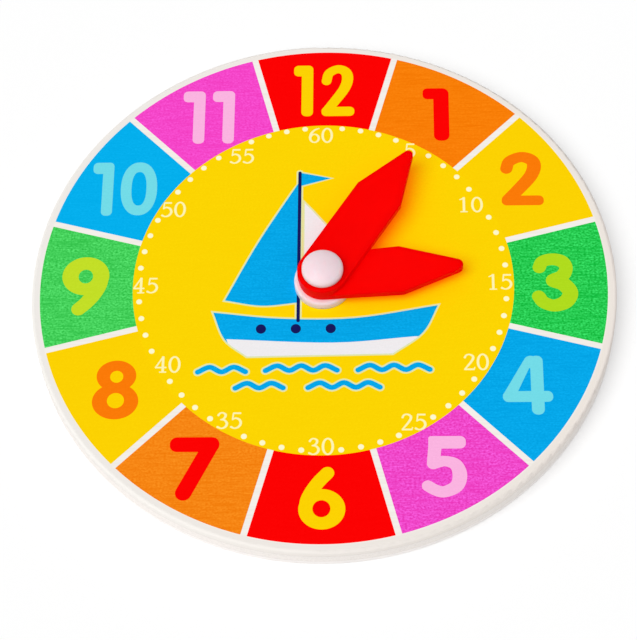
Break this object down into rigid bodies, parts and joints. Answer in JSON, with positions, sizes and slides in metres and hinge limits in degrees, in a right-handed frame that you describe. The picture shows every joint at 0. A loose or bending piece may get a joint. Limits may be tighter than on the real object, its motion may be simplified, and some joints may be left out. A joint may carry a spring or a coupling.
{
  "type": "toy teaching clock",
  "caption": "Round plywood teaching clock, printed dial up, with flat plastic hands that each turn freely on a snap-in pivot under a domed cap, for learning to tell the time.",
  "frame": {"origin": "centre of the board's back face, which is the face it lies on", "axes": "+Z out of the dial along the pivot, +Y towards 12 o'clock, +X towards 3 o'clock"},
  "size_m": [0.11, 0.11, 0.0128],
  "materials": {
    "printed_face": "printed dial under satin lacquer",
    "birch_face": "sanded, satin lacquer",
    "birch_core": "sanded end grain",
    "white_plastic": "satin",
    "red_plastic": "satin"
  },
  "bodies": {
    "board": {"front_ply": "printed_face", "core_ply": "birch_core", "back_ply": "birch_face", "rear_sleeve": "white_plastic", "hand_spacer": "white_plastic", "pivot_cap": "white_plastic"},
    "hour_hand": {"hour_hand": "red_plastic"},
    "minute_hand": {"minute_hand": "red_plastic"}
  },
  "joints": [
    {"name": "hour_turn", "type": "hinge", "parent": "board", "child": "hour_hand", "pos_m": [0, 0, 0.00793], "axis": [0, 0, -1], "continuous": true},
    {"name": "minute_turn", "type": "hinge", "parent": "board", "child": "minute_hand", "pos_m": [0, 0, 0.00961], "axis": [0, 0, -1], "continuous": true}
  ]
}
